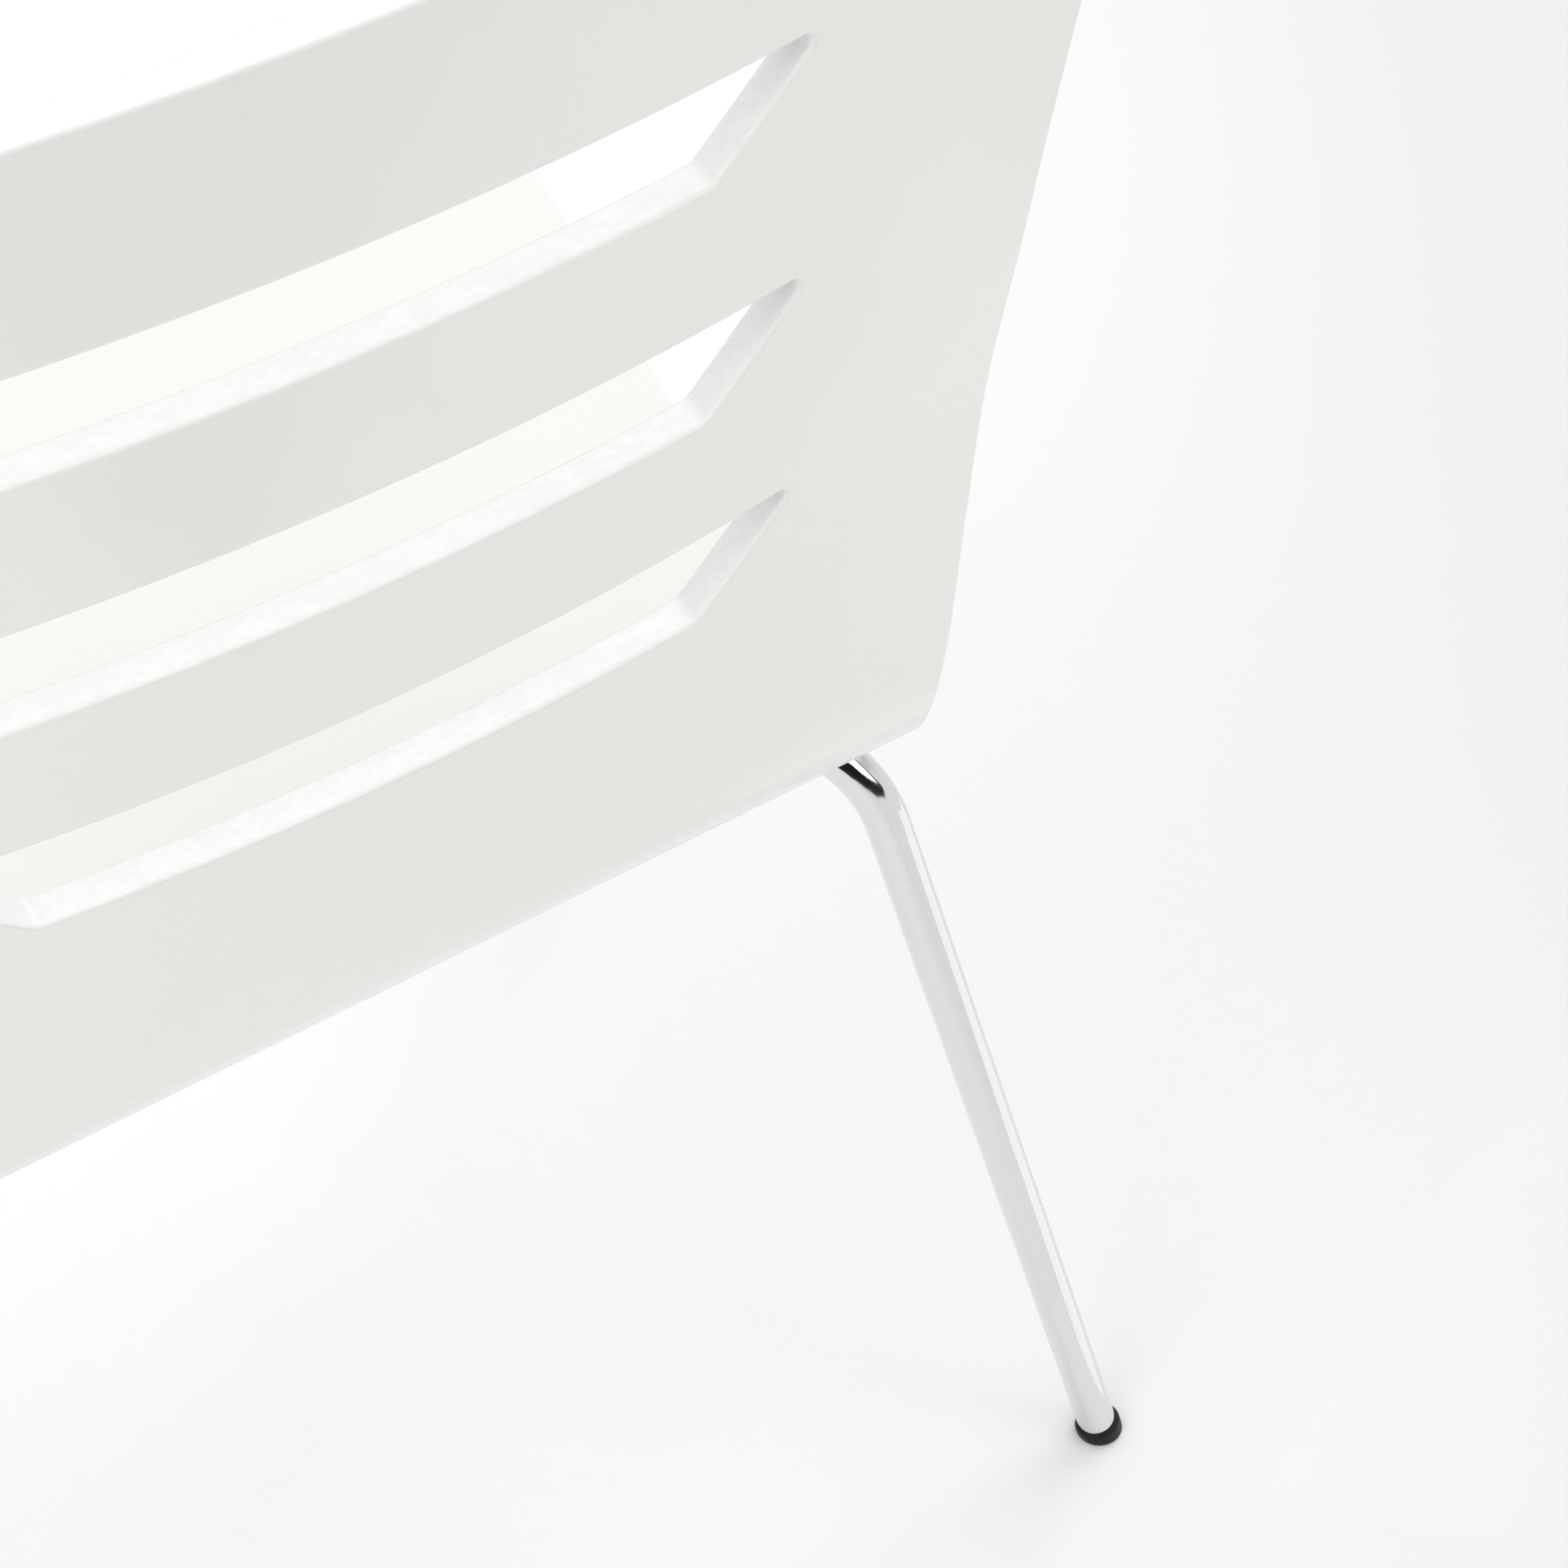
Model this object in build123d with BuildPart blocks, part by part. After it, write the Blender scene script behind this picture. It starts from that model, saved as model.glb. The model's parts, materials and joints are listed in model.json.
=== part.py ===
from build123d import *
from math import asin, cos, radians, sin, tan
import os

# Stacking chair: a one-piece moulded plywood shell on two bent-tube leg hoops.
# Millimetres and degrees. The origin is on the floor, under the middle of the chair's box.
# +Z is up, the chair faces -Y, and the sitter's right-hand side is -X.

# ---- Shell: side profile, measured on its rear and lower face ----
SHELL_THICKNESS = 11
SEAT_SLOPE = 4
SEAT_UNDERSIDE_HEIGHT = 440.18
SEAT_REAR_Y = 139.8
SEAT_FRONT_Y = -171.2
WATERFALL_RADIUS = 52
WATERFALL_TURN = 44
BEND_RADIUS = 76.8
BEND_TURN = 78.4
LOWER_BACK_RADIUS = 924
LOWER_BACK_TURN = 9.3
UPPER_BACK_LENGTH = 157

# ---- Shell: outline and cross curve ----
BACK_CURVE_RADIUS = 830
WAIST_RISE = -20
WAIST_HALF_WIDTH = 181.3
BACK_FLARE = 0.115
BACK_FLARE_GROWTH = 0.00042
NECK_RISE = -170
NECK_HALF_WIDTH = 199
SEAT_WIDEST_RISE = -400
SEAT_HALF_WIDTH = 230
CURVE_START_RISE = -36
CURVE_FULL_RISE = 90
SEAT_CORNER_RADIUS = 62
BACK_CORNER_RADIUS = 45
SEAT_CORNER_REACH = 230.3
SHELL_EDGE_RADIUS = 1.5
SQUARE_EDGE_SLACK = 0.2
SLANTED_EDGE_EXTRA = 1.5
OFFCUT_HEIGHT = 560

# ---- Number of cross-sections that shape each length of the shell ----
LIP_SECTIONS = 4
SEAT_SECTIONS = 16
BEND_SECTIONS = 8
BACK_SECTIONS = 9

# ---- Slots in the back ----
SLOT_COUNT = 3
SLOT_HEIGHT = 30.2
SLOT_HEIGHT_LOSS = 1.3
SLOT_PITCH = 70.85
FIRST_SLOT_RISE = 95.85
SLOT_HALF_LENGTH = 112
SLOT_GROWTH = 5.2
SLOT_END_RUN = 17.5
SLOT_LOWER_RADIUS = 4
SLOT_TIP_RADIUS = 2.5
SLOT_CUT_DEPTH = 45

# ---- Leg hoops: bent tube ----
TUBE_RADIUS = 8
TUBE_WALL = 1.5
TUBE_BEND_RADIUS = 80
HOOP_V_ANGLE = 20
REAR_CORNER = (193, 132.8)
FRONT_CORNER = (238, -174.7)
REAR_FOOT = (256, 188.3)
FRONT_FOOT = (262, -255.2)
TUBE_END_RISE = 3

# ---- Joint between frame and shell ----
STRAP_X = 95
STRAP_WIDTH = 30
STRAP_THICKNESS = 4
STRAP_OVERHANG = 14
STRAP_SADDLE_DEPTH = 0.6
PAD_THICKNESS = 5
PAD_LENGTH = 42
PAD_GAP = 0.1
STRAP_CORNER_RADIUS = 6
SCREW_ROWS = {"rear": 59, "front": -91}
SCREW_RADIUS = 2.95
SCREW_HOLE_RADIUS = 3.4
SCREW_DEPTH_IN_SHELL = 7
SCREW_HEAD_RADIUS = 6
SCREW_HEAD_HEIGHT = 3.6
SCREW_HEAD_ROUNDING = 1.2
SCREW_SOCKET_RADIUS = 2.3
SCREW_SOCKET_DEPTH = 2.2
WASHER_RADIUS = 7.5
WASHER_THICKNESS = 1.2
INSERT_RADIUS = 4.5
INSERT_BORE_RADIUS = 3
INSERT_LENGTH = 8

# ---- Foot caps ----
CAP_RADIUS = 9.5
CAP_RIM_RADIUS = 8.4
CAP_RIM_RISE = 6.2
CAP_WIDEST_RISE = 3.6
CAP_SOLE_ROUNDING = 0.8
CAP_STEM_RADIUS = 6.4
CAP_STEM_LENGTH = 24
CAP_STEM_CHAMFER = 1

# ---- Stacking bumpers, clipped on the tubes from below ----
BUMPER_WIDTH = 22
BUMPER_LENGTH = 26
BUMPER_DROP = 6
BUMPER_REACH_UP = 3
BUMPER_ROUNDING = 2
REAR_BUMPER_X = 116
FRONT_BUMPER_X = 152

SIDES = {"left": 1, "right": -1}


# ================================================================ reference planes
# seat_plane lies on the seat's underside: x is the chair's X, y runs back along the seat.
SLOPE = radians(SEAT_SLOPE)
seat_plane = Plane(
    origin=(0, 0, SEAT_UNDERSIDE_HEIGHT), x_dir=(1, 0, 0), z_dir=(0, sin(SLOPE), cos(SLOPE))
)
FRAME_DROP = PAD_THICKNESS + STRAP_THICKNESS - STRAP_SADDLE_DEPTH + TUBE_RADIUS
frame_plane = seat_plane.offset(-FRAME_DROP)
strap_plane = seat_plane.offset(-PAD_THICKNESS - STRAP_THICKNESS)
pad_plane = seat_plane.offset(-PAD_THICKNESS)


def on_frame(x, y):
    """Point of the tubes' centre plane that lies straight below the plan point (x, y)."""
    along = (y + FRAME_DROP * sin(SLOPE)) / cos(SLOPE)
    return frame_plane.from_local_coords((x, along, 0))


# ================================================================ seat shell
def seat_line_point(y):
    """Point on the underside of the seat, in the flat drawing of the profile."""
    return Vector(y, SEAT_UNDERSIDE_HEIGHT - y * tan(SLOPE))


def draw_underside():
    """Side profile of the lower and rear face, drawn flat: x is the chair's Y, y its Z."""
    rearward = (cos(SLOPE), -sin(SLOPE))
    lip_angle = radians(WATERFALL_TURN) - SLOPE
    lip_centre = seat_line_point(SEAT_FRONT_Y) - Vector(sin(SLOPE), cos(SLOPE)) * WATERFALL_RADIUS
    lip = lip_centre + Vector(-sin(lip_angle), cos(lip_angle)) * WATERFALL_RADIUS
    with BuildLine() as flat:
        JernArc(lip, (cos(lip_angle), sin(lip_angle)), WATERFALL_RADIUS, -WATERFALL_TURN)
        Line(seat_line_point(SEAT_FRONT_Y), seat_line_point(SEAT_REAR_Y))
        bend = JernArc(seat_line_point(SEAT_REAR_Y), rearward, BEND_RADIUS, BEND_TURN)
        lower_back = JernArc(bend @ 1, bend % 1, LOWER_BACK_RADIUS, LOWER_BACK_TURN)
        Line(lower_back @ 1, lower_back @ 1 + (lower_back % 1) * UPPER_BACK_LENGTH)
    return flat.wire()


underside = draw_underside()
LIP_LENGTH = WATERFALL_RADIUS * radians(WATERFALL_TURN)
SEAT_LENGTH = (SEAT_REAR_Y - SEAT_FRONT_Y) / cos(SLOPE)
BEND_LENGTH = BEND_RADIUS * radians(BEND_TURN)
BACK_START = LIP_LENGTH + SEAT_LENGTH + BEND_LENGTH
BACK_LENGTH = underside.length - BACK_START


def section_plane(rise):
    """Plane square to the profile, a length rise above the end of the bend."""
    share = (BACK_START + rise) / underside.length
    point = underside.position_at(share)
    along = underside.tangent_at(share)
    return Plane(origin=(0, point.X, point.Y), x_dir=(-1, 0, 0), z_dir=(0, along.X, along.Y))


def ease(share):
    """Smooth step from 0 to 1, level at both ends."""
    share = min(max(share, 0), 1)
    return share**2 * (3 - 2 * share)


def half_width(rise):
    """Half the shell's width: least at the waist, flared up the back and out to the seat."""
    above = rise - WAIST_RISE
    if above > 0:
        return WAIST_HALF_WIDTH + BACK_FLARE * above + BACK_FLARE_GROWTH * above**2
    neck = ease(above / (NECK_RISE - WAIST_RISE)) * (NECK_HALF_WIDTH - WAIST_HALF_WIDTH)
    wide = ease((rise - NECK_RISE) / (SEAT_WIDEST_RISE - NECK_RISE)) * (SEAT_HALF_WIDTH - NECK_HALF_WIDTH)
    return WAIST_HALF_WIDTH + neck + wide


def cross_curve(rise):
    """Curvature across the shell: the seat is flat, and the back hugs the sitter."""
    share = (rise - CURVE_START_RISE) / (CURVE_FULL_RISE - CURVE_START_RISE)
    return min(max(share, 0), 1) / BACK_CURVE_RADIUS


def shell_section(rise):
    """Cross-section of the shell at a length up the back."""
    half = half_width(rise)
    curve = cross_curve(rise)
    with BuildSketch(section_plane(rise)) as section:
        if curve == 0:
            with Locations((0, SHELL_THICKNESS / 2)):
                Rectangle(2 * half, SHELL_THICKNESS)
        else:
            outer_radius = 1 / curve
            inner_radius = outer_radius - SHELL_THICKNESS
            turn = asin(half * curve)
            outer = (outer_radius * sin(turn), outer_radius * (1 - cos(turn)))
            inner = (inner_radius * sin(turn), outer_radius - inner_radius * cos(turn))
            with BuildLine():
                ThreePointArc((-outer[0], outer[1]), (0, 0), outer)
                Line(outer, inner)
                ThreePointArc(inner, (0, SHELL_THICKNESS), (-inner[0], inner[1]))
                Line((-inner[0], inner[1]), (-outer[0], outer[1]))
            make_face()
    return section.sketch


def spread(start, end, count):
    """Evenly spaced values from start up to, but not including, end."""
    return [start + (end - start) * index / count for index in range(count)]


def slot_outline(index):
    """One slot: a flat trapezium behind the back, wider above, with rounded corners."""
    rise = FIRST_SLOT_RISE + index * SLOT_PITCH
    half = SLOT_HALF_LENGTH + index * SLOT_GROWTH
    height = SLOT_HEIGHT - index * SLOT_HEIGHT_LOSS
    across = section_plane(rise)
    behind = across.origin - across.y_dir * SLOT_CUT_DEPTH
    with BuildSketch(Plane(origin=behind, x_dir=(1, 0, 0), z_dir=across.y_dir)) as slot:
        low = [(-half + SLOT_END_RUN, -height / 2), (half - SLOT_END_RUN, -height / 2)]
        high = [(half + SLOT_END_RUN, height / 2), (-half - SLOT_END_RUN, height / 2)]
        Polygon(*low, *high, align=None)
        fillet(slot.vertices().group_by(Axis.Y)[0], SLOT_LOWER_RADIUS)
        fillet(slot.vertices().group_by(Axis.Y)[-1], SLOT_TIP_RADIUS)
    return slot.sketch


def corner_offcuts():
    """Plan of the two offcuts that round the front corners of the seat."""
    reach = SEAT_CORNER_RADIUS * 2
    lip_y = section_plane(-BACK_START).origin.Y - SHELL_THICKNESS * sin(radians(WATERFALL_TURN) - SLOPE)
    centre = (SEAT_CORNER_REACH - SEAT_CORNER_RADIUS, lip_y + SEAT_CORNER_RADIUS)
    with BuildSketch() as offcuts:
        with Locations(centre):
            Rectangle(reach, reach, align=(Align.MIN, Align.MAX))
            Circle(SEAT_CORNER_RADIUS, mode=Mode.SUBTRACT)
        mirror(about=Plane.YZ)
    return offcuts.sketch


SECTION_RISES = (
    spread(-BACK_START, LIP_LENGTH - BACK_START, LIP_SECTIONS)
    + spread(LIP_LENGTH - BACK_START, -BEND_LENGTH, SEAT_SECTIONS)
    + spread(-BEND_LENGTH, 0, BEND_SECTIONS)
    + spread(0, BACK_LENGTH, BACK_SECTIONS)
    + [BACK_LENGTH]
)


def screw_places():
    """Plan points of the four screws on the seat plane."""
    return [(side * STRAP_X, y) for side in SIDES.values() for y in SCREW_ROWS.values()]


with BuildPart() as seat_shell:
    loft([shell_section(rise) for rise in SECTION_RISES])
    for index in range(SLOT_COUNT):
        extrude(slot_outline(index), amount=2 * SLOT_CUT_DEPTH, mode=Mode.SUBTRACT)
    extrude(corner_offcuts(), amount=OFFCUT_HEIGHT, mode=Mode.SUBTRACT)
    top_edge = seat_shell.faces().sort_by(Axis.Z)[-1]
    fillet(top_edge.edges().sort_by(SortBy.LENGTH)[:2], BACK_CORNER_RADIUS)
    # The short edges that run straight through the ply stay sharp; all others are eased,
    # the lowest first.
    shortest = SHELL_THICKNESS - SQUARE_EDGE_SLACK
    longest = SHELL_THICKNESS + SLANTED_EDGE_EXTRA
    eased = seat_shell.edges().filter_by(lambda edge: not shortest < edge.length < longest)
    fillet(eased.sort_by(Axis.Z), SHELL_EDGE_RADIUS)
    with BuildSketch(pad_plane):
        with Locations(*screw_places()):
            Circle(INSERT_RADIUS)
    extrude(amount=PAD_THICKNESS + INSERT_LENGTH, mode=Mode.SUBTRACT)
seat_shell.part.label = "seat_shell"


# ================================================================ leg hoops
def hoop_run(corner):
    """The two outer corners of a hoop and the point of its V under the seat."""
    x, y = corner
    inward = -1 if y > 0 else 1
    apex = on_frame(0, y + inward * x * tan(radians(HOOP_V_ANGLE)))
    return on_frame(x, y), apex, on_frame(-x, y)


def leg_line(corner, foot, side):
    """Floor point of a leg's axis and the unit vector that runs up the leg."""
    floor_point = Vector(side * foot[0], foot[1], 0)
    return floor_point, (on_frame(side * corner[0], corner[1]) - floor_point).normalized()


def hoop_path(corner, foot):
    """Centre line of a hoop: up one leg, along the V under the seat and down the other."""
    left_floor, left_up = leg_line(corner, foot, 1)
    right_floor, right_up = leg_line(corner, foot, -1)
    left_end = left_floor + left_up * TUBE_END_RISE
    right_end = right_floor + right_up * TUBE_END_RISE
    with BuildLine() as path:
        FilletPolyline(left_end, *hoop_run(corner), right_end, radius=TUBE_BEND_RADIUS)
    return path.wire()


def bent_rod(path, radius):
    """Round bar along a centre line."""
    with BuildPart() as rod:
        with BuildSketch(Plane(origin=path @ 0, z_dir=path % 0)):
            Circle(radius)
        sweep(path=path)
    return rod.part


rear_path = hoop_path(REAR_CORNER, REAR_FOOT)
front_path = hoop_path(FRONT_CORNER, FRONT_FOOT)
rear_rod = bent_rod(rear_path, TUBE_RADIUS)
front_rod = bent_rod(front_path, TUBE_RADIUS)

with BuildPart() as rear_leg_hoop:
    add(rear_rod)
    add(bent_rod(rear_path, TUBE_RADIUS - TUBE_WALL), mode=Mode.SUBTRACT)
rear_leg_hoop.part.label = "rear_leg_hoop"

with BuildPart() as front_leg_hoop:
    add(front_rod)
    add(bent_rod(front_path, TUBE_RADIUS - TUBE_WALL), mode=Mode.SUBTRACT)
front_leg_hoop.part.label = "front_leg_hoop"

# The centre stretcher joins the points of the two Vs; its ends are coped to the tubes.
rear_point = rear_path @ 0.5
front_point = front_path @ 0.5
with BuildPart() as centre_stretcher:
    with BuildSketch(Plane(origin=rear_point, z_dir=front_point - rear_point)):
        Circle(TUBE_RADIUS)
        Circle(TUBE_RADIUS - TUBE_WALL, mode=Mode.SUBTRACT)
    extrude(amount=(front_point - rear_point).length)
    add(rear_rod, mode=Mode.SUBTRACT)
    add(front_rod, mode=Mode.SUBTRACT)
centre_stretcher.part.label = "centre_stretcher"


# ================================================================ mounting straps and pads
def run_y(corner, x):
    """Where a hoop's straight run passes the plan line x."""
    inward = -1 if corner[1] > 0 else 1
    return corner[1] + inward * (corner[0] - x) * tan(radians(HOOP_V_ANGLE))


STRAP_REAR_END = run_y(REAR_CORNER, STRAP_X) + STRAP_OVERHANG
STRAP_FRONT_END = run_y(FRONT_CORNER, STRAP_X) - STRAP_OVERHANG


def build_strap(side):
    """Flat bar welded on top of both hoops, with a hole for each screw."""
    with BuildPart() as strap:
        with BuildSketch(strap_plane):
            with Locations((side * STRAP_X, (STRAP_REAR_END + STRAP_FRONT_END) / 2)):
                RectangleRounded(STRAP_WIDTH, STRAP_REAR_END - STRAP_FRONT_END, STRAP_CORNER_RADIUS)
            with Locations(*[(side * STRAP_X, y) for y in SCREW_ROWS.values()]):
                Circle(SCREW_HOLE_RADIUS, mode=Mode.SUBTRACT)
        extrude(amount=STRAP_THICKNESS)
        add(rear_rod, mode=Mode.SUBTRACT)
        add(front_rod, mode=Mode.SUBTRACT)
    return strap.part


def build_pad(side, row_y):
    """Rubber pad between strap and seat."""
    with BuildPart() as pad:
        with BuildSketch(pad_plane):
            with Locations((side * STRAP_X, row_y)):
                RectangleRounded(STRAP_WIDTH, PAD_LENGTH, STRAP_CORNER_RADIUS)
                Circle(SCREW_HOLE_RADIUS, mode=Mode.SUBTRACT)
        extrude(amount=PAD_THICKNESS - PAD_GAP)
    return pad.part


# ================================================================ fasteners
head_plane = strap_plane.offset(-WASHER_THICKNESS - SCREW_HEAD_HEIGHT)
shank_length = WASHER_THICKNESS + STRAP_THICKNESS + PAD_THICKNESS + SCREW_DEPTH_IN_SHELL

with BuildPart() as mounting_screws:
    with BuildSketch(head_plane):
        with Locations(*screw_places()):
            Circle(SCREW_HEAD_RADIUS)
    extrude(amount=SCREW_HEAD_HEIGHT)
    fillet(mounting_screws.edges().group_by(Axis.Z)[0], SCREW_HEAD_ROUNDING)
    with BuildSketch(head_plane.offset(SCREW_HEAD_HEIGHT)):
        with Locations(*screw_places()):
            Circle(SCREW_RADIUS)
    extrude(amount=shank_length)
    with BuildSketch(head_plane):
        with Locations(*screw_places()):
            RegularPolygon(SCREW_SOCKET_RADIUS, 6)
    extrude(amount=SCREW_SOCKET_DEPTH, mode=Mode.SUBTRACT)
mounting_screws.part.label = "mounting_screws"

with BuildPart() as screw_washers:
    with BuildSketch(strap_plane.offset(-WASHER_THICKNESS)):
        with Locations(*screw_places()):
            Circle(WASHER_RADIUS)
            Circle(SCREW_HOLE_RADIUS, mode=Mode.SUBTRACT)
    extrude(amount=WASHER_THICKNESS)
screw_washers.part.label = "screw_washers"

with BuildPart() as threaded_inserts:
    with BuildSketch(seat_plane):
        with Locations(*screw_places()):
            Circle(INSERT_RADIUS)
            Circle(INSERT_BORE_RADIUS, mode=Mode.SUBTRACT)
    extrude(amount=INSERT_LENGTH)
threaded_inserts.part.label = "threaded_inserts"


# ================================================================ foot caps
def build_foot_cap(corner, foot, side):
    """Plastic cap: a cup round the tube's end, a stem inside it and a flat sole."""
    floor_point, up = leg_line(corner, foot, side)
    across = up.cross(Vector(0, 0, 1)).normalized()
    with BuildPart() as cap:
        with BuildSketch(Plane(origin=floor_point, x_dir=across, z_dir=across.cross(up))):
            with BuildLine():
                Polyline(
                    (CAP_RIM_RADIUS, CAP_RIM_RISE),
                    (TUBE_RADIUS, CAP_RIM_RISE),
                    (TUBE_RADIUS, TUBE_END_RISE),
                    (CAP_STEM_RADIUS, TUBE_END_RISE),
                    (CAP_STEM_RADIUS, TUBE_END_RISE + CAP_STEM_LENGTH - CAP_STEM_CHAMFER),
                    (CAP_STEM_RADIUS - CAP_STEM_CHAMFER, TUBE_END_RISE + CAP_STEM_LENGTH),
                    (0, TUBE_END_RISE + CAP_STEM_LENGTH),
                    (0, -CAP_RADIUS),
                    (CAP_RADIUS, -CAP_RADIUS),
                    (CAP_RADIUS, CAP_WIDEST_RISE),
                )
                Spline(
                    (CAP_RADIUS, CAP_WIDEST_RISE),
                    (CAP_RIM_RADIUS, CAP_RIM_RISE),
                    tangents=((0, 1), (-1, 1)),
                )
            make_face()
        revolve(axis=Axis(floor_point, up))
        split(bisect_by=Plane.XY, keep=Keep.TOP)
        fillet(cap.faces().sort_by(Axis.Z)[0].edges(), CAP_SOLE_ROUNDING)
    return cap.part


# ================================================================ stacking bumpers
def build_bumper(corner, x, side):
    """Plastic saddle clipped on a hoop's run from below."""
    outer, apex, _ = hoop_run(corner)
    outer = Vector(side * outer.X, outer.Y, outer.Z)
    along = (apex - outer).normalized()
    middle = outer + (apex - outer) * (1 - x / corner[0])
    level = frame_plane.z_dir.cross(along)
    with BuildPart() as bumper:
        start = middle - along * (BUMPER_LENGTH / 2)
        with BuildSketch(Plane(origin=start, x_dir=level, z_dir=along)):
            with Locations((0, BUMPER_REACH_UP)):
                Rectangle(
                    BUMPER_WIDTH,
                    BUMPER_REACH_UP + TUBE_RADIUS + BUMPER_DROP,
                    align=(Align.CENTER, Align.MAX),
                )
            Circle(TUBE_RADIUS, mode=Mode.SUBTRACT)
        extrude(amount=BUMPER_LENGTH)
        fillet(bumper.faces().sort_by(Axis.Z)[0].edges(), BUMPER_ROUNDING)
    return bumper.part


# ================================================================ build and export
LEGS = {"rear": (REAR_CORNER, REAR_FOOT), "front": (FRONT_CORNER, FRONT_FOOT)}
BUMPER_PLACES = {"rear": REAR_BUMPER_X, "front": FRONT_BUMPER_X}

pieces = [
    seat_shell.part,
    rear_leg_hoop.part,
    front_leg_hoop.part,
    centre_stretcher.part,
    mounting_screws.part,
    screw_washers.part,
    threaded_inserts.part,
]
for side_name, side in SIDES.items():
    strap = build_strap(side)
    strap.label = f"mounting_strap_{side_name}"
    pieces.append(strap)
    for row_name, (corner, foot) in LEGS.items():
        place = f"{row_name}_{side_name}"
        pad = build_pad(side, SCREW_ROWS[row_name])
        pad.label = f"rubber_pad_{place}"
        cap = build_foot_cap(corner, foot, side)
        cap.label = f"foot_cap_{place}"
        bumper = build_bumper(corner, BUMPER_PLACES[row_name], side)
        bumper.label = f"stacking_bumper_{place}"
        pieces += [pad, cap, bumper]

os.makedirs("parts", exist_ok=True)
for piece in pieces:
    export_step(piece, f"parts/{piece.label}.step")
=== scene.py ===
import json
from math import cos, pi, radians, sin, tan

import bpy
from mathutils import Matrix, Vector


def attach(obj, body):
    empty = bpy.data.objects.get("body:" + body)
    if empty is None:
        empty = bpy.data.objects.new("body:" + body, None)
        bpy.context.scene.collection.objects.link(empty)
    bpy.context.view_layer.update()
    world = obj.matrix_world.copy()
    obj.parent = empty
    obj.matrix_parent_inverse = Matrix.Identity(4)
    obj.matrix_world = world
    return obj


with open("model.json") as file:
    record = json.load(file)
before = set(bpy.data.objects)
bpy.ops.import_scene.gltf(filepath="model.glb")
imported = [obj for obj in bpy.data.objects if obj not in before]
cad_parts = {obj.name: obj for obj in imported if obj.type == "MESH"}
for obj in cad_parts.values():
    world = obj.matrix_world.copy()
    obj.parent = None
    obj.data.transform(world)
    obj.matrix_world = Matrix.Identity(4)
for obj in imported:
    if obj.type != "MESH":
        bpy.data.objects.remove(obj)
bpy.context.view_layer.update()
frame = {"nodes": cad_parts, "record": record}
NODES = frame["nodes"]
SLOT_OF = {row["node"]: row["material_slot"] for row in frame["record"]["subparts"]}

# ---- Camera: the photograph's viewing angle, for a square picture ----
CAMERA_PLACE = Vector((0.1835, 0.7987, 1.1155))
CAMERA_YAW = 27.857
CAMERA_PITCH = 44.183
CAMERA_ROLL = -5.895
CAMERA_LENS = 72.09
CAMERA_SENSOR = 36.0
CAMERA_NEAR = 0.02

# ---- Shape of the shell's rear face in side view, for the plies on its edges (Y, Z) ----
PLY = 0.0014
BEND_LEAN = radians(15.6)
CROSS_CURVE_FROM = 0.455
CROSS_CURVE_FULL = 0.573
SLOTS_ABOVE = 0.5
FRONT_EDGE_BEFORE = -0.19
BEND_CENTRE = (0.14516, 0.50702)
BEND_RADIUS = 0.0768
BACK_CENTRE = (-0.6709, 0.7348)
BACK_RADIUS = 0.924
BACK_STRAIGHT_FROM = 0.6334
BACK_STRAIGHT_LEAN = radians(6.3)
BACK_CROSS_RADIUS = 0.83
SEAT_SLOPE = radians(4)
SEAT_PLANE_HEIGHT = 0.44018


# ================================================================ node materials
# Pairs of colours are the two ends of a slow or fine mottling.
LACQUER_FACE = (0.762, 0.756, 0.736, 1), (0.787, 0.781, 0.763, 1)
LACQUER_EDGE = (0.62, 0.62, 0.61, 1), (0.825, 0.825, 0.815, 1)
ZINC = (0.50, 0.51, 0.50, 1), (0.70, 0.70, 0.67, 1)
PLASTIC = (0.004, 0.004, 0.004, 1), (0.009, 0.009, 0.009, 1)
PLASTIC_SCUFF = (0.045, 0.044, 0.042, 1)
SCUFF_HEIGHT = 0.0035
RUBBER = (0.018, 0.018, 0.018, 1), (0.05, 0.05, 0.048, 1)
WELD_TONE = (0.58, 0.59, 0.59, 1), (0.74, 0.75, 0.75, 1)
TUBE_TONE = (0.772, 0.780, 0.776)
STRAP_TONE = (0.73, 0.74, 0.74)
DULL_CHROME = 0.965


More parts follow.
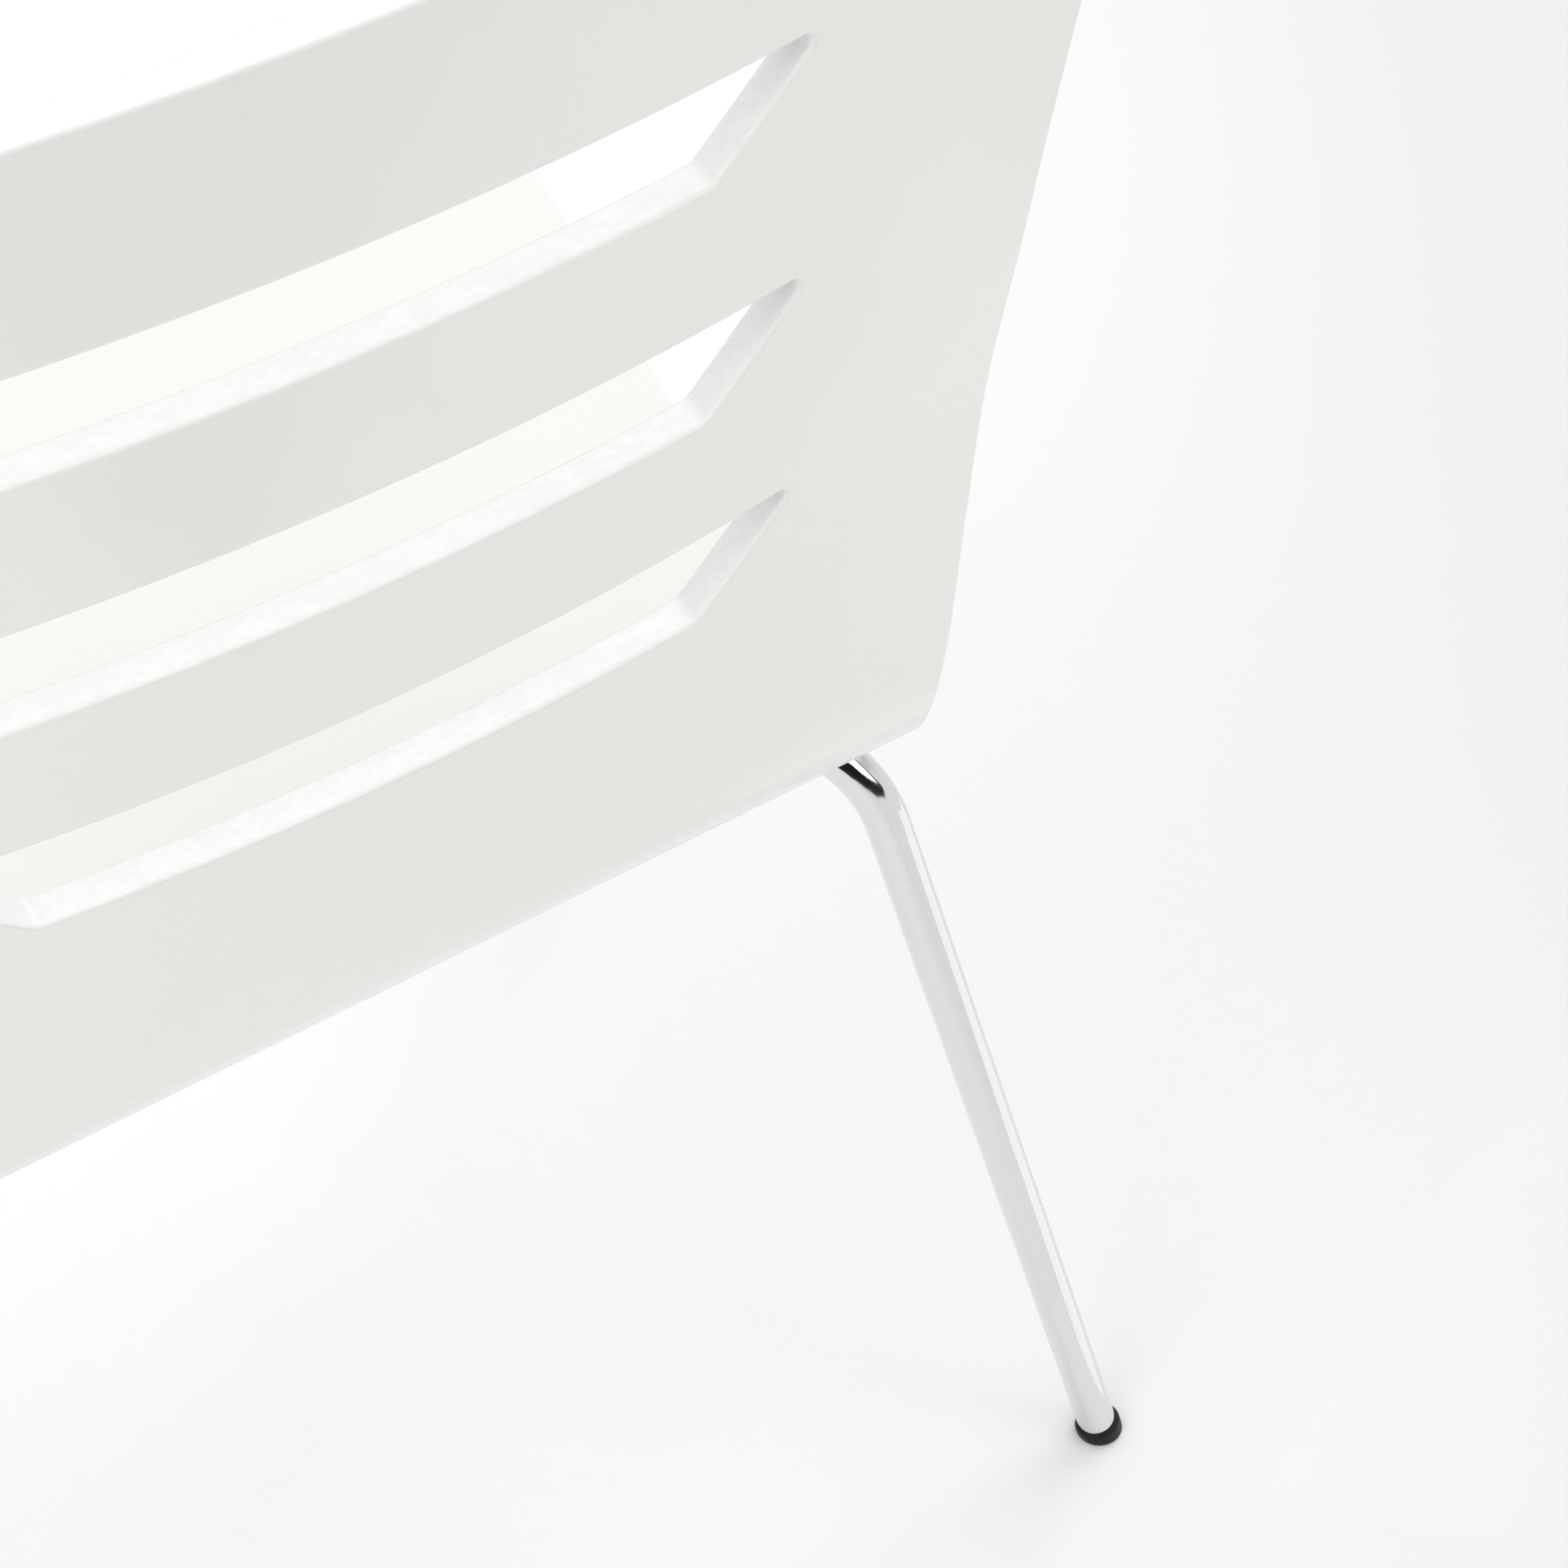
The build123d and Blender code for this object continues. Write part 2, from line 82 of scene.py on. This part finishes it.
class Paint:
    """A node material, written as plain calls. Values are numbers or other nodes' outputs."""

    def __init__(self, name, **shader):
        self.material = bpy.data.materials.new(name)
        self.material.use_nodes = True
        self.tree = self.material.node_tree
        self.shader = self.tree.nodes["Principled BSDF"]
        for socket, value in shader.items():
            self.shader.inputs[socket.replace("_", " ")].default_value = value

    def feed(self, socket, value):
        if isinstance(value, bpy.types.NodeSocket):
            self.tree.links.new(value, socket)
        else:
            socket.default_value = value

    def node(self, kind, inputs, **settings):
        made = self.tree.nodes.new("ShaderNode" + kind)
        for name, value in settings.items():
            setattr(made, name, value)
        for socket, value in inputs.items():
            self.feed(made.inputs[socket], value)
        return made

    def math(self, operation, *values):
        made = self.node("Math", dict(enumerate(values)), operation=operation)
        return made.outputs[0]

    def add(self, a, b):
        return self.math("ADD", a, b)

    def times(self, a, b):
        return self.math("MULTIPLY", a, b)

    def most(self, *values):
        best = values[0]
        for value in values[1:]:
            best = self.math("MAXIMUM", best, value)
        return best

    def spread(self, value, low, high, to_low=0.0, to_high=1.0, smooth=True):
        """Maps low..high of a value to to_low..to_high, and keeps it inside."""
        kind = "SMOOTHSTEP" if smooth else "LINEAR"
        inputs = {"Value": value, "From Min": low, "From Max": high, "To Min": to_low, "To Max": to_high}
        return self.node("MapRange", inputs, interpolation_type=kind).outputs["Result"]

    def pick(self, chooser, low, high):
        """low where the chooser is 0, high where it is 1."""
        made = self.node("Mix", {"Factor": chooser, 2: low, 3: high}, data_type="FLOAT")
        return made.outputs[0]

    def blend(self, factor, first, second):
        """Mix of two colours."""
        made = self.node("Mix", {0: factor, 6: first, 7: second}, data_type="RGBA")
        return made.outputs[2]

    def place(self):
        """Position in the row frame."""
        return self.node("NewGeometry", {}).outputs["Position"]

    def facing(self):
        return self.node("NewGeometry", {}).outputs["Normal"]

    def parts(self, vector):
        return self.node("SeparateXYZ", {0: vector}).outputs

    def vector(self, x, y, z):
        return self.node("CombineXYZ", {0: x, 1: y, 2: z}).outputs[0]

    def stretched(self, vector, scale):
        return self.node("VectorMath", {0: vector, 1: scale}, operation="MULTIPLY").outputs[0]

    def noise(self, vector, scale, detail=3.0, roughness=0.55):
        inputs = {"Vector": vector, "Scale": scale, "Detail": detail, "Roughness": roughness}
        return self.node("TexNoise", inputs).outputs["Fac"]

    def bump(self, height, distance, strength=1.0, below=None):
        inputs = {"Height": height, "Distance": distance, "Strength": strength}
        if below is not None:
            inputs["Normal"] = below
        return self.node("Bump", inputs).outputs["Normal"]

    def finish(self, **sockets):
        for socket, value in sockets.items():
            self.feed(self.shader.inputs[socket.replace("_", " ")], value)
        return self.material


def ply_depth(paint):
    """Depth below the shell's rear and lower face, which follows the moulded plies."""
    x, y, z = paint.parts(paint.place())
    curved = paint.spread(z, CROSS_CURVE_FROM, CROSS_CURVE_FULL, smooth=False)
    sag = paint.times(paint.times(x, x), paint.times(curved, 0.5 / BACK_CROSS_RADIUS))
    flat_y = paint.add(y, sag)

    def inside_circle(centre, radius):
        across = paint.add(flat_y, -centre[0])
        upward = paint.add(z, -centre[1])
        squares = paint.add(paint.times(across, across), paint.times(upward, upward))
        return paint.math("SUBTRACT", radius, paint.math("SQRT", squares))

    seat_rise = paint.add(z, -SEAT_PLANE_HEIGHT)
    seat = paint.add(paint.times(seat_rise, cos(SEAT_SLOPE)), paint.times(y, sin(SEAT_SLOPE)))
    bend = inside_circle(BEND_CENTRE, BEND_RADIUS)
    lower_back = inside_circle(BACK_CENTRE, BACK_RADIUS)
    top_point = (
        BACK_CENTRE[0] + BACK_RADIUS * cos(BACK_STRAIGHT_LEAN),
        BACK_CENTRE[1] - BACK_RADIUS * sin(BACK_STRAIGHT_LEAN),
    )
    ahead = paint.times(paint.add(flat_y, -top_point[0]), -cos(BACK_STRAIGHT_LEAN))
    upper_back = paint.add(ahead, paint.times(paint.add(z, -top_point[1]), sin(BACK_STRAIGHT_LEAN)))
    in_bend = paint.math("GREATER_THAN", y, BEND_CENTRE[0])
    in_back = paint.math("GREATER_THAN", z, BEND_CENTRE[1] - BEND_RADIUS * sin(BEND_LEAN))
    in_upper = paint.math("GREATER_THAN", z, BACK_STRAIGHT_FROM)
    back = paint.pick(in_upper, lower_back, upper_back)
    return paint.pick(in_back, paint.pick(in_bend, seat, bend), back)


def edge_share(paint):
    """1 on the shell's cut edges and slot walls, 0 on its two moulded faces."""
    nx, ny, nz = paint.parts(paint.facing())
    _, y, z = paint.parts(paint.place())
    side = paint.spread(paint.math("ABSOLUTE", nx), 0.45, 0.72)
    high = paint.math("GREATER_THAN", z, SLOTS_ABOVE)
    wall = paint.times(paint.spread(paint.math("ABSOLUTE", nz), 0.38, 0.62), high)
    ahead = paint.math("LESS_THAN", y, FRONT_EDGE_BEFORE)
    front = paint.times(paint.spread(paint.times(ny, -1.0), 0.67, 0.73), ahead)
    return paint.most(side, wall, front)


def white_lacquer():
    """Gloss white lacquer: smooth on the faces, with the plies telegraphing through on the edges."""
    paint = Paint("white_lacquer", Coat_Weight=0.25, Coat_Roughness=0.12, IOR=1.5)
    place = paint.place()
    edge = edge_share(paint)
    depth = ply_depth(paint)
    x, _, z = paint.parts(place)

    cloud = paint.noise(place, 9.0, 2.0)
    face_colour = paint.blend(cloud, *LACQUER_FACE)

    # Fibres of the edge grain: long along the edge, short across the plies.
    layered = paint.vector(paint.times(x, 320.0), paint.times(depth, 620.0), paint.times(z, 320.0))
    fibre = paint.noise(layered, 1.0, 5.0, 0.62)
    blotch = paint.noise(place, 95.0, 4.0, 0.6)
    fleck = paint.noise(place, 650.0, 2.0, 0.5)
    ripple = paint.math("SINE", paint.times(depth, 2 * pi / PLY))
    tone = paint.times(
        paint.spread(fibre, 0.36, 0.62, 0.86, 1.0),
        paint.spread(blotch, 0.38, 0.60, 0.90, 1.0),
    )
    edge_colour = paint.blend(tone, *LACQUER_EDGE)
    colour = paint.blend(edge, face_colour, edge_colour)

    peel = paint.noise(place, 420.0, 2.0, 0.5)
    peel_bump = paint.bump(paint.times(peel, paint.math("SUBTRACT", 1.0, edge)), 0.00004)
    grain = paint.add(fibre, paint.times(fleck, 0.6))
    grain = paint.times(paint.add(grain, paint.times(ripple, 0.12)), edge)
    bump = paint.bump(grain, 0.00006, below=peel_bump)

    face_rough = paint.spread(paint.noise(place, 30.0, 3.0), 0.3, 0.7, 0.20, 0.27)
    edge_rough = paint.spread(fibre, 0.3, 0.7, 0.50, 0.34)
    rough = paint.pick(edge, face_rough, edge_rough)
    return paint.finish(Base_Color=colour, Roughness=rough, Normal=bump)


def chrome(name, tone, roughness, scratch):
    """Polished chrome with the faint lengthwise polishing marks of drawn tube."""
    paint = Paint(name, Metallic=1.0)
    place = paint.place()
    lines = paint.noise(paint.stretched(place, (1400.0, 1400.0, 40.0)), 1.0, 3.0, 0.6)
    haze = paint.noise(place, 35.0, 4.0, 0.6)
    dull = tuple(share * DULL_CHROME for share in tone)
    colour = paint.blend(haze, (*dull, 1), (*tone, 1))
    rough = paint.add(
        paint.spread(haze, 0.35, 0.65, roughness * 0.75, roughness * 1.3),
        paint.times(lines, roughness * 0.25),
    )
    bump = paint.bump(lines, scratch)
    return paint.finish(Base_Color=colour, Roughness=rough, Normal=bump)


def zinc():
    """Bright zinc plate on screws and washers: slightly blotchy, a little yellow."""
    paint = Paint("zinc_steel", Metallic=1.0)
    place = paint.place()
    blotch = paint.noise(place, 260.0, 4.0, 0.6)
    fine = paint.noise(place, 2600.0, 2.0)
    colour = paint.blend(blotch, *ZINC)
    rough = paint.spread(blotch, 0.3, 0.7, 0.24, 0.40)
    return paint.finish(Base_Color=colour, Roughness=rough, Normal=paint.bump(fine, 0.00003))


def black_plastic():
    """Moulded black plastic with a fine eroded grain, scuffed paler low down where it slides."""
    paint = Paint("black_plastic", Specular_IOR_Level=0.22)
    place = paint.place()
    _, _, z = paint.parts(place)
    grain = paint.noise(place, 1500.0, 3.0, 0.6)
    patch = paint.noise(place, 120.0, 4.0, 0.65)
    low = paint.spread(z, SCUFF_HEIGHT, 0.0)
    scuff = paint.times(low, paint.spread(patch, 0.45, 0.62))
    clean = paint.blend(patch, *PLASTIC)
    colour = paint.blend(scuff, clean, PLASTIC_SCUFF)
    rough = paint.add(paint.spread(patch, 0.3, 0.7, 0.36, 0.48), paint.times(scuff, 0.2))
    return paint.finish(Base_Color=colour, Roughness=rough, Normal=paint.bump(grain, 0.00006))


def black_rubber():
    """Matte rubber with a bloom of pale dust."""
    paint = Paint("black_rubber", Specular_IOR_Level=0.3)
    place = paint.place()
    bloom = paint.noise(place, 180.0, 5.0, 0.65)
    grain = paint.noise(place, 1900.0, 2.0)
    colour = paint.blend(paint.spread(bloom, 0.4, 0.75), *RUBBER)
    rough = paint.spread(bloom, 0.3, 0.7, 0.68, 0.82)
    return paint.finish(Base_Color=colour, Roughness=rough, Normal=paint.bump(grain, 0.00008))


def weld_metal():
    """Chromed weld bead: bright but uneven."""
    paint = Paint("weld_metal", Metallic=1.0)
    place = paint.place()
    lump = paint.noise(place, 420.0, 4.0, 0.6)
    colour = paint.blend(lump, *WELD_TONE)
    rough = paint.spread(lump, 0.3, 0.7, 0.12, 0.26)
    return paint.finish(Base_Color=colour, Roughness=rough, Normal=paint.bump(lump, 0.00015))


PAINTS = {
    "white_lacquer": white_lacquer(),
    "chrome_tube": chrome("chrome_tube", TUBE_TONE, 0.06, 0.000004),
    "chrome_strap": chrome("chrome_strap", STRAP_TONE, 0.13, 0.00001),
    "zinc_steel": zinc(),
    "black_plastic": black_plastic(),
    "black_rubber": black_rubber(),
}
WELD = weld_metal()

for name, node in NODES.items():
    node.data.materials.clear()
    node.data.materials.append(PAINTS[SLOT_OF[name]])


# ================================================================ mesh pieces
def mesh_object(name, points, faces, material):
    """A new mesh in the scene, with one material."""
    data = bpy.data.meshes.new(name)
    data.from_pydata(points, [], faces)
    data.materials.append(material)
    made = bpy.data.objects.new(name, data)
    bpy.context.scene.collection.objects.link(made)
    return made


def mesh_piece(name, points, faces, material, body="root"):
    """A smooth mesh that belongs to the object and rides on one of its bodies."""
    piece = mesh_object(name, points, faces, material)
    polygons = piece.data.polygons
    polygons.foreach_set("use_smooth", [True] * len(polygons))
    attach(piece, body)
    return piece


# ================================================================ weld beads
# Sizes of the leg hoops, as in the CAD, and of the beads.
SEAT_NORMAL = Vector((0, sin(SEAT_SLOPE), cos(SEAT_SLOPE)))
TUBE_RADIUS = 0.008
TUBE_DROP = 0.0164
HOOP_V_ANGLE = radians(20)
TUBE_BEND_RADIUS = 0.080
HOOP_CORNERS = {"rear": (0.193, 0.1328), "front": (0.238, -0.1747)}
STRAP_X = 0.095
BEAD_RADIUS = 0.0017
BEAD_HALF_LENGTH = 0.0155
BEAD_OFFSET = 0.0052
BEAD_LIFT = 0.0064
BEAD_SIDES = 8
BEAD_STEPS = 28
BEAD_TIP = 0.35
BEAD_TAPER_STEPS = 3
BEAD_RIPPLES = ((0.10, 2.1), (0.05, 4.7))
COPE_GAP = 0.0004


def on_frame(x, y):
    """Point of the tubes' centre plane straight below the plan point (x, y)."""
    return Vector((x, y, SEAT_PLANE_HEIGHT - y * tan(SEAT_SLOPE) - TUBE_DROP / cos(SEAT_SLOPE)))


def bead(name, line, closed=False):
    """Weld bead: a thin rope along a line of points, with the ripple of the weld pool."""
    points, faces = [], []
    count = len(line)
    for index, point in enumerate(line):
        ahead = line[(index + 1) % count] if closed else line[min(index + 1, count - 1)]
        behind = line[index - 1] if closed or index else line[0]
        along = (ahead - behind).normalized()
        upright = abs(along.dot(SEAT_NORMAL)) > 0.9
        first = along.cross(Vector((1, 0, 0)) if upright else SEAT_NORMAL).normalized()
        second = along.cross(first)
        to_tip = min(index, count - 1 - index, BEAD_TAPER_STEPS) / BEAD_TAPER_STEPS
        taper = 1.0 if closed else BEAD_TIP + (1 - BEAD_TIP) * to_tip
        ripple = 1.0 + sum(size * sin(index * pace) for size, pace in BEAD_RIPPLES)
        radius = BEAD_RADIUS * taper * ripple
        for side in range(BEAD_SIDES):
            turn = 2 * pi * side / BEAD_SIDES
            points.append(point + (first * cos(turn) + second * sin(turn)) * radius)
    rows = count if closed else count - 1
    for index in range(rows):
        here, there = index * BEAD_SIDES, (index + 1) % count * BEAD_SIDES
        for side in range(BEAD_SIDES):
            beside = (side + 1) % BEAD_SIDES
            faces.append((here + side, here + beside, there + beside, there + side))
    if not closed:
        faces.append(tuple(range(BEAD_SIDES))[::-1])
        faces.append(tuple(range((count - 1) * BEAD_SIDES, count * BEAD_SIDES)))
    return mesh_piece(name, points, faces, WELD)


for row, (corner_x, corner_y) in HOOP_CORNERS.items():
    inward = -1 if corner_y > 0 else 1
    slant = inward * tan(HOOP_V_ANGLE)
    for side_name, side in {"left": 1, "right": -1}.items():
        middle = on_frame(side * STRAP_X, corner_y + (corner_x - STRAP_X) * slant)
        run = (on_frame(side * corner_x, corner_y) - middle).normalized()
        across = SEAT_NORMAL.cross(run)
        for flank_name, flank in {"a": 1, "b": -1}.items():
            start = middle + across * (flank * BEAD_OFFSET) + SEAT_NORMAL * BEAD_LIFT
            steps = [2 * k / (BEAD_STEPS - 1) - 1 for k in range(BEAD_STEPS)]
            line = [start + run * (BEAD_HALF_LENGTH * step) for step in steps]
            bead(f"weld_strap_{row}_{side_name}_{flank_name}", line)
    # Round the coped end of the centre stretcher.
    apex_y = corner_y + slant * corner_x
    bend_y = apex_y - inward * TUBE_BEND_RADIUS * (1 / cos(HOOP_V_ANGLE) - 1)
    joint = on_frame(0, bend_y)
    along = (on_frame(0, bend_y + inward) - joint).normalized()
    reach = TUBE_RADIUS + COPE_GAP
    loop = []
    for k in range(2 * BEAD_STEPS):
        turn = 2 * pi * k / (2 * BEAD_STEPS)
        sideways = Vector((1, 0, 0)) * (reach * cos(turn))
        upward = SEAT_NORMAL * (reach * sin(turn))
        loop.append(joint + sideways + upward + along * (reach * abs(cos(turn))))
    bead(f"weld_stretcher_{row}", loop, closed=True)


# ================================================================ stage
FLOOR_REACH = 30.0
FLOOR_HEIGHT = -0.0003
FLOOR_SIDES = 64
FLOOR_WARM = (0.990, 0.990, 0.978, 1)
FLOOR_COOL = (1.0, 0.996, 1.0, 1)
# Floor tone with painted light and shade: greyer where more lamp light falls, paler where the chair's
# shadow falls.
FLOOR_LIT_SIDE_PAINTED_GREY = 0.737
FLOOR_SHADOW_SIDE_PAINTED_PALE = 0.941
FLOOR_LIT_SIDE_BELOW = -0.70
FLOOR_SHADOW_SIDE_ABOVE = 0.08
FLOOR_PAINTED_LIGHT_SLANT = 0.68


def stage_mesh(name, points, faces, material):
    made = mesh_object(name, points, faces, material)
    return made


def floor_material():
    """Matte white paper. Seen from below it lets the view through, so the underside shows.

    The paper is painted greyer behind the chair on the sitter's right, where more lamp light falls, and
    paler where the chair's shadow falls: painted shade and painted light. That was set by comparison
    with the photograph, so that the floor comes out as even there as it does in it.
    """
    paint = Paint("floor_paper", Specular_IOR_Level=0.15, Roughness=0.75)
    place = paint.place()
    cloud = paint.noise(place, 1.6, 2.0)
    tint = paint.blend(cloud, FLOOR_WARM, FLOOR_COOL)
    x, y, _ = paint.parts(place)
    # Painted light and shade: the paper's tone runs from greyer on the well-lit side to paler where the
    # chair's shadow falls.
    slant = paint.math("SUBTRACT", x, paint.times(y, FLOOR_PAINTED_LIGHT_SLANT))
    painted_light_ends = FLOOR_LIT_SIDE_BELOW, FLOOR_SHADOW_SIDE_ABOVE, FLOOR_LIT_SIDE_PAINTED_GREY, FLOOR_SHADOW_SIDE_PAINTED_PALE
    tone = paint.spread(slant, *painted_light_ends, smooth=False)
    colour = paint.node("VectorMath", {0: tint, "Scale": tone}, operation="SCALE").outputs["Vector"]
    paint.finish(Base_Color=colour)
    clear = paint.node("BsdfTransparent", {})
    back = paint.node("NewGeometry", {}).outputs["Backfacing"]
    mixed = paint.node("MixShader", {0: back, 1: paint.shader.outputs[0], 2: clear.outputs[0]})
    output = paint.tree.nodes["Material Output"]
    paint.tree.links.new(mixed.outputs[0], output.inputs["Surface"])
    return paint.material


def floor_corner(index):
    turn = 2 * pi * index / FLOOR_SIDES
    return FLOOR_REACH * cos(turn), FLOOR_REACH * sin(turn), FLOOR_HEIGHT


# The floor lies a hair below the soles, so that the two never share a plane.
corners = [floor_corner(index) for index in range(FLOOR_SIDES)]
stage_mesh("floor", corners, [tuple(range(FLOOR_SIDES))], floor_material())

# Cards that only reflections in the chrome and the lacquer see. Three lie on the floor,
# as X and Y: a dark one behind the chair, a pale one beside the visible leg and a dark
# one in front. Two stand behind the chair: one glows, for the highlight on the leg, and
# the narrow dark flag borders it. The places and outlines of all but the front one follow
# the reflections that the photograph shows in the leg.
DARK_CARD = [
    (-0.09, 0.70), (-0.22, 0.84), (-0.55, 1.0), (-1.2, 1.02), (-1.45, 1.05), (-1.9, 1.6),
    (-1.25, 1.66), (-1.0, 1.66), (-1.4, 2.9), (-0.9, 3.5), (0.6, 3.5), (0.1, 1.05),
]
PALE_CARD = [
    (-0.28, 0.20), (-0.47, 0.17), (-0.95, 0.05), (-0.9, 0.62), (-0.6, 0.5), (-0.4, 0.37), (-0.29, 0.25),
]
FRONT_CARD = [(-1.7, -1.3), (0.2, -1.6), (1.6, -1.2), (2.3, -2.6), (0, -3.4), (-2.2, -2.8)]
GLOW_CARD = [
    (-0.916, 1.626, 0.025), (-1.380, 1.289, 0.025), (-1.380, 1.289, 0.975), (-0.916, 1.626, 0.975),
]
FLAG_CARD = [
    (-1.380, 1.289, 0.0), (-1.475, 1.185, 0.0), (-1.400, 1.268, 0.9), (-1.380, 1.289, 0.9),
]
CARD_HEIGHT = 0.002
CARD_BLACK = (0.012, 0.012, 0.012, 1)
CARD_GLOW_COLOUR = (1.0, 1.0, 0.995, 1)


def card(name, points, glow=0.0):
    """Card seen only in reflections, black or glowing."""
    if len(points[0]) == 2:
        points = [(x, y, CARD_HEIGHT) for x, y in points]
    paint = Paint(name, Base_Color=CARD_BLACK, Roughness=0.9, Specular_IOR_Level=0.0)
    paint.finish(Emission_Color=CARD_GLOW_COLOUR, Emission_Strength=glow)
    made = stage_mesh(name, points, [tuple(range(len(points)))], paint.material)
    made.visible_camera = False
    made.visible_diffuse = False
    made.visible_shadow = False
    made.visible_transmission = False


card("dark_card", DARK_CARD)
card("pale_card", PALE_CARD, glow=1.13)
card("front_card", FRONT_CARD)
card("glow_card", GLOW_CARD, glow=2.2)
card("flag_card", FLAG_CARD)


# ================================================================ light and camera
CHAIR_MIDDLE = (0, 0, 0.3)
LEG_TOP = (-0.193, 0.143, 0.5)
WORLD_STRENGTH = 0.85


def softbox(name, place, target, size, power):
    """Square white area light; the size is a side."""
    data = bpy.data.lights.new(name, "AREA")
    data.shape = "SQUARE"
    data.size = size
    data.energy = power
    lamp = bpy.data.objects.new(name, data)
    lamp.location = place
    lamp.rotation_mode = "QUATERNION"
    lamp.rotation_quaternion = (Vector(target) - Vector(place)).to_track_quat("-Z", "Y")
    bpy.context.scene.collection.objects.link(lamp)
    return lamp


softbox("key_light", (-1.6, -0.6, 2.4), CHAIR_MIDDLE, 1.3, 14)
softbox("fill_light", (1.7, 1.0, 2.2), CHAIR_MIDDLE, 1.4, 11.5)
softbox("low_light", (-2.4, 3.0, 1.1), LEG_TOP, 1.2, 16).visible_glossy = False
softbox("top_light", (0, 0, 3.0), (0, 0, 0), 3.0, 14)

world = bpy.data.worlds.new("studio")
bpy.context.scene.world = world
world.use_nodes = True
background = world.node_tree.nodes["Background"]
background.inputs["Color"].default_value = (1.0, 1.0, 1.0, 1)
background.inputs["Strength"].default_value = WORLD_STRENGTH

camera_data = bpy.data.cameras.new("camera")
camera_data.lens = CAMERA_LENS
camera_data.sensor_width = CAMERA_SENSOR
camera_data.clip_start = CAMERA_NEAR
camera = bpy.data.objects.new("camera", camera_data)
bpy.context.scene.collection.objects.link(camera)
yaw, pitch = radians(CAMERA_YAW), radians(CAMERA_PITCH)
forward = Vector((-sin(yaw) * cos(pitch), -cos(yaw) * cos(pitch), -sin(pitch)))
camera.matrix_world = (
    Matrix.Translation(CAMERA_PLACE)
    @ forward.to_track_quat("-Z", "Y").to_matrix().to_4x4()
    @ Matrix.Rotation(radians(CAMERA_ROLL), 4, "Z")
)
bpy.context.scene.camera = camera
bpy.context.scene.view_settings.view_transform = "Standard"
